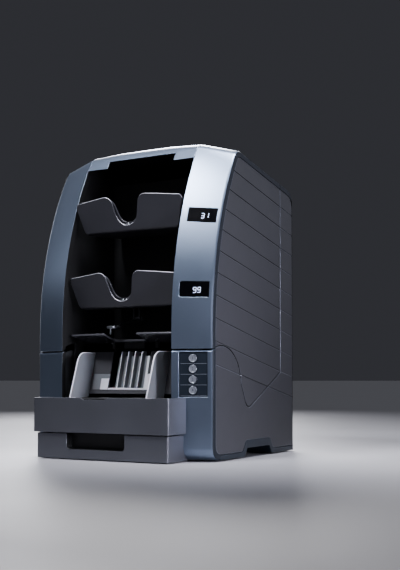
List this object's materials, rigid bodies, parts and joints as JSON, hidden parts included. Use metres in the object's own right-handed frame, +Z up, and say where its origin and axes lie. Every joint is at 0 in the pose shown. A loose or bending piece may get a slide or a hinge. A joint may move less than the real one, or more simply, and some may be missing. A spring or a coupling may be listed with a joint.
{
  "type": "banknote counter",
  "caption": "Desktop banknote counter and sorter: feeder with sliding guides, a reject pocket and stacking pockets in a tall case whose upper module swings forward over the base.",
  "frame": {"origin": "centre of the bounding box at the table", "axes": "+Z up, -Y to the front where the notes go in, +X to the right as seen from the front"},
  "size_m": [0.315, 0.3256, 0.4758],
  "materials": {
    "silver_lacquer": "silver metallic lacquer, satin",
    "slate_lacquer": "dark blue-grey metallic lacquer, satin",
    "panel_grey": "dark grey, fine texture",
    "tray_grey": "dark grey, satin",
    "black_plastic": "black, satin",
    "white_plastic": "white, satin",
    "frame_steel": "plain zinc-plated sheet and turned steel",
    "roller_rubber": "matt",
    "display_window": "tinted, gloss",
    "key_silver": "silver lacquer, satin",
    "board_green": "solder mask"
  },
  "bodies": {
    "base": {"base_chassis": "slate_lacquer", "lower_column_right": "silver_lacquer", "lower_column_left": "silver_lacquer", "lower_side_panel_right": "panel_grey", "lower_side_panel_left": "panel_grey", "side_frame_right": "frame_steel", "side_frame_left": "frame_steel", "hinge_pin_right": "frame_steel", "hinge_pin_left": "frame_steel", "rear_cover": "slate_lacquer", "hopper_front": "slate_lacquer", "feeder_floor": "black_plastic", "feeder_back": "panel_grey", "feeder_comb": "white_plastic", "transport_wall": "black_plastic", "sensor_bar": "black_plastic", "drive_motor": "frame_steel", "drive_belt": "roller_rubber", "power_supply": "frame_steel", "control_board": "board_green", "power_inlet": "black_plastic", "data_ports": "black_plastic", "foot_front_left": "roller_rubber", "foot_front_right": "roller_rubber", "foot_rear_left": "roller_rubber", "foot_rear_right": "roller_rubber", "keypad_plate": "slate_lacquer"},
    "upper_module": {"upper_column_right": "silver_lacquer", "upper_column_left": "silver_lacquer", "roof_cover": "silver_lacquer", "upper_side_panel_right": "panel_grey", "upper_side_panel_left": "panel_grey", "pocket_cheek_right": "black_plastic", "pocket_cheek_left": "black_plastic", "pocket_wall": "black_plastic", "module_guide": "black_plastic", "pocket_tray_upper": "tray_grey", "tray_liner_upper": "black_plastic", "display_window_upper": "display_window", "pocket_tray_lower": "tray_grey", "tray_liner_lower": "black_plastic", "display_window_lower": "display_window", "reject_tray": "tray_grey"},
    "drawer": {"pull_drawer": "slate_lacquer"},
    "guide_right": {"note_guide_right": "white_plastic"},
    "guide_left": {"note_guide_left": "white_plastic"},
    "pickoff_roller": {"pickoff_shaft": "roller_rubber"},
    "feed_roller": {"feed_shaft": "roller_rubber"},
    "retard_roller": {"retard_shaft": "roller_rubber"},
    "transport_roller_low": {"transport_shaft_low": "roller_rubber"},
    "transport_roller_high": {"transport_shaft_high": "roller_rubber"},
    "motor_rotor": {"motor_pulley": "frame_steel"},
    "stacker_upper": {"stacker_shaft_upper": "white_plastic"},
    "stacker_lower": {"stacker_shaft_lower": "white_plastic"},
    "rocker": {"power_rocker": "black_plastic"},
    "hold_down_arm": {"reject_arm": "frame_steel"},
    "button_1": {"keypad_button_1": "key_silver"},
    "button_2": {"keypad_button_2": "key_silver"},
    "button_3": {"keypad_button_3": "key_silver"},
    "button_4": {"keypad_button_4": "key_silver"}
  },
  "joints": [
    {"name": "module_swing", "type": "hinge", "parent": "base", "child": "upper_module", "pos_m": [0, -0.07775, 0.1075], "axis": [1, 0, 0], "range_deg": [0, 28]},
    {"name": "drawer_slide", "type": "slide", "parent": "base", "child": "drawer", "axis": [0, -1, 0], "range_m": [0, 0.06]},
    {"name": "guide_right_slide", "type": "slide", "parent": "base", "child": "guide_right", "axis": [1, 0, 0], "range_m": [-0.018, 0.024]},
    {"name": "guide_left_slide", "type": "slide", "parent": "base", "child": "guide_left", "axis": [1, 0, 0], "range_m": [-0.024, 0.018]},
    {"name": "pickoff_spin", "type": "hinge", "parent": "base", "child": "pickoff_roller", "pos_m": [0, -0.10625, 0.0778], "axis": [1, 0, 0], "continuous": true},
    {"name": "feed_spin", "type": "hinge", "parent": "base", "child": "feed_roller", "pos_m": [0, -0.06825, 0.0758], "axis": [1, 0, 0], "continuous": true},
    {"name": "retard_spin", "type": "hinge", "parent": "base", "child": "retard_roller", "pos_m": [0, -0.06825, 0.1013], "axis": [1, 0, 0], "continuous": true},
    {"name": "transport_low_spin", "type": "hinge", "parent": "base", "child": "transport_roller_low", "pos_m": [0, 0.12845, 0.17], "axis": [1, 0, 0], "continuous": true},
    {"name": "transport_high_spin", "type": "hinge", "parent": "base", "child": "transport_roller_high", "pos_m": [0, 0.12845, 0.36], "axis": [1, 0, 0], "continuous": true},
    {"name": "motor_spin", "type": "hinge", "parent": "base", "child": "motor_rotor", "pos_m": [0, 0.05975, 0.05], "axis": [1, 0, 0], "continuous": true},
    {"name": "stacker_upper_spin", "type": "hinge", "parent": "upper_module", "child": "stacker_upper", "pos_m": [0, 0.03375, 0.3765], "axis": [1, 0, 0], "continuous": true},
    {"name": "stacker_lower_spin", "type": "hinge", "parent": "upper_module", "child": "stacker_lower", "pos_m": [0, 0.03375, 0.26], "axis": [1, 0, 0], "continuous": true},
    {"name": "hold_down_swing", "type": "hinge", "parent": "upper_module", "child": "hold_down_arm", "pos_m": [0, -0.02625, 0.214], "axis": [1, 0, 0], "range_deg": [-14, 0]},
    {"name": "rocker_tilt", "type": "hinge", "parent": "base", "child": "rocker", "pos_m": [-0.06, 0.15795, 0.062], "axis": [1, 0, 0], "range_deg": [0, 12]},
    {"name": "button_1_press", "type": "slide", "parent": "base", "child": "button_1", "axis": [-0.2759, 0.9612, 0], "range_m": [0, 0.0012], "stiffness_N_per_m": 200, "springref_m": -0.001},
    {"name": "button_2_press", "type": "slide", "parent": "base", "child": "button_2", "axis": [-0.2759, 0.9612, 0], "range_m": [0, 0.0012], "stiffness_N_per_m": 200, "springref_m": -0.001},
    {"name": "button_3_press", "type": "slide", "parent": "base", "child": "button_3", "axis": [-0.2759, 0.9612, 0], "range_m": [0, 0.0012], "stiffness_N_per_m": 200, "springref_m": -0.001},
    {"name": "button_4_press", "type": "slide", "parent": "base", "child": "button_4", "axis": [-0.2759, 0.9612, 0], "range_m": [0, 0.0012], "stiffness_N_per_m": 200, "springref_m": -0.001}
  ],
  "couplings": [
    {"joint": "guide_left_slide", "follows": "guide_right_slide", "ratio": -1},
    {"joint": "pickoff_spin", "follows": "feed_spin", "ratio": 1.1538},
    {"joint": "retard_spin", "follows": "feed_spin", "ratio": -1.5},
    {"joint": "transport_low_spin", "follows": "feed_spin", "ratio": 1.3636},
    {"joint": "transport_high_spin", "follows": "feed_spin", "ratio": 1.3636},
    {"joint": "motor_spin", "follows": "feed_spin", "ratio": 1.7778},
    {"joint": "stacker_lower_spin", "follows": "stacker_upper_spin", "ratio": 1}
  ]
}
